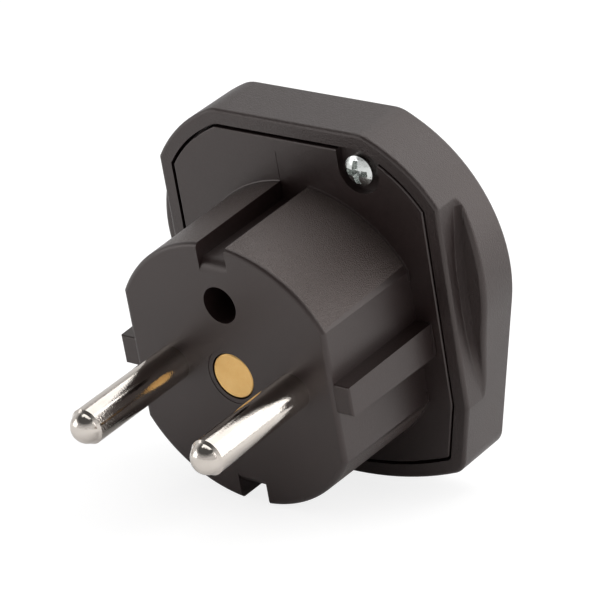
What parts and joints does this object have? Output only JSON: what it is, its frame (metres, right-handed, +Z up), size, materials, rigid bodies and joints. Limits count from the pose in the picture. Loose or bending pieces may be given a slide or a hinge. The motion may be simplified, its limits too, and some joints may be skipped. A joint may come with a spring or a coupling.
{
  "type": "travel adapter",
  "caption": "Travel adapter with a round recessed-socket plug on round pins in front and a slotted flat-blade socket in a shield-shaped housing behind.",
  "frame": {"origin": "centre of the plug face, midway between the two pins", "axes": "the pins point along -Y, the housing lies at +Y, +X is right seen from the pins and +Z is up, towards the earth-pin hole"},
  "size_m": [0.0506, 0.045, 0.0499],
  "materials": {
    "black_plastic": "moulded black plastic, satin face and fine-grained sides",
    "housing_plastic": "moulded black plastic with a fine matt grain",
    "nickel": "bright nickel plate",
    "contact_brass": "stamped brass",
    "rivet_brass": "matt brass",
    "insulator": "natural moulded insulator",
    "zinc": "bright zinc plate"
  },
  "bodies": {
    "root": {"plug_base": "black_plastic", "socket_housing": "housing_plastic", "left_plug_pin": "nickel", "right_plug_pin": "nickel", "left_blade_contact": "contact_brass", "right_blade_contact": "contact_brass", "pin_retainer": "insulator", "middle_rivet": "rivet_brass", "upper_casing_screw": "zinc", "lower_casing_screw": "zinc"}
  },
  "joints": []
}
